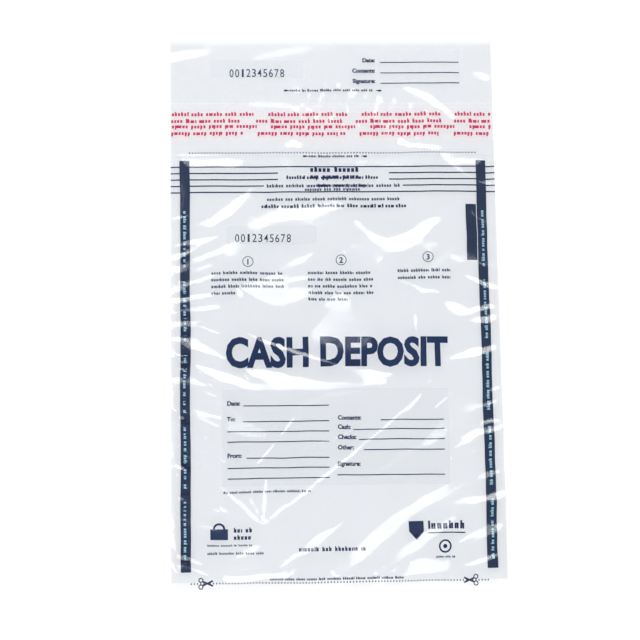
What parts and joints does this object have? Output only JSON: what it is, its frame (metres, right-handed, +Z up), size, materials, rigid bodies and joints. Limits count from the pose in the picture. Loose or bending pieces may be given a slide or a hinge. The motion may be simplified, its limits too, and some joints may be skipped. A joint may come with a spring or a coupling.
{
  "type": "cash deposit bag",
  "caption": "Flat clear film deposit bag with welded sides, a fold-over adhesive flap under a release liner, write-on panels and a tear-off receipt.",
  "frame": {"origin": "under the middle of the whole bag, on the surface that it lies on", "axes": "+X to the right seen from the front, +Y towards the receipt end, +Z up out of the front ply"},
  "size_m": [0.2286, 0.3848, 0.0123],
  "materials": {
    "clear_film": "glossy clear film",
    "welded_film": "glossy clear film, fused",
    "navy_ink": "printed ink on glossy film",
    "patch_coat": "matt ink-receptive coating",
    "hot_melt": "tacky clear adhesive",
    "liner_film": "siliconised liner film"
  },
  "bodies": {
    "back_ply": {"back_panel": "clear_film", "bottom_weld": "welded_film", "left_back_border": "navy_ink", "right_back_border": "navy_ink", "cut_line_print": "navy_ink"},
    "front_ply": {"front_panel": "clear_film", "left_side_weld": "welded_film", "right_side_weld": "welded_film", "left_front_border": "navy_ink", "right_front_border": "navy_ink", "tamper_lines": "navy_ink", "body_serial_patch": "patch_coat", "write_on_panel": "patch_coat", "fold_line_print": "navy_ink"},
    "flap": {"sealing_flap": "clear_film", "adhesive_strip": "hot_melt", "perforation_ties": "clear_film"},
    "liner": {"release_liner": "liner_film"},
    "receipt": {"tear_off_receipt": "clear_film", "receipt_serial_patch": "patch_coat", "receipt_write_on_panel": "patch_coat"}
  },
  "joints": [
    {"name": "mouth_open", "type": "hinge", "parent": "back_ply", "child": "front_ply", "pos_m": [0, -0.1878, 0.0003], "axis": [1, 0, 0], "range_deg": [0, 7]},
    {"name": "flap_fold", "type": "hinge", "parent": "front_ply", "child": "flap", "pos_m": [0, 0.1124, -0.00005], "axis": [-1, 0, 0], "range_deg": [0, 179.8]},
    {"name": "liner_pull", "type": "slide", "parent": "flap", "child": "liner", "axis": [1, 0, 0], "range_m": [0, 0.235]},
    {"name": "receipt_tear", "type": "slide", "parent": "flap", "child": "receipt", "axis": [0, 1, 0], "range_m": [0, 0.05]}
  ]
}
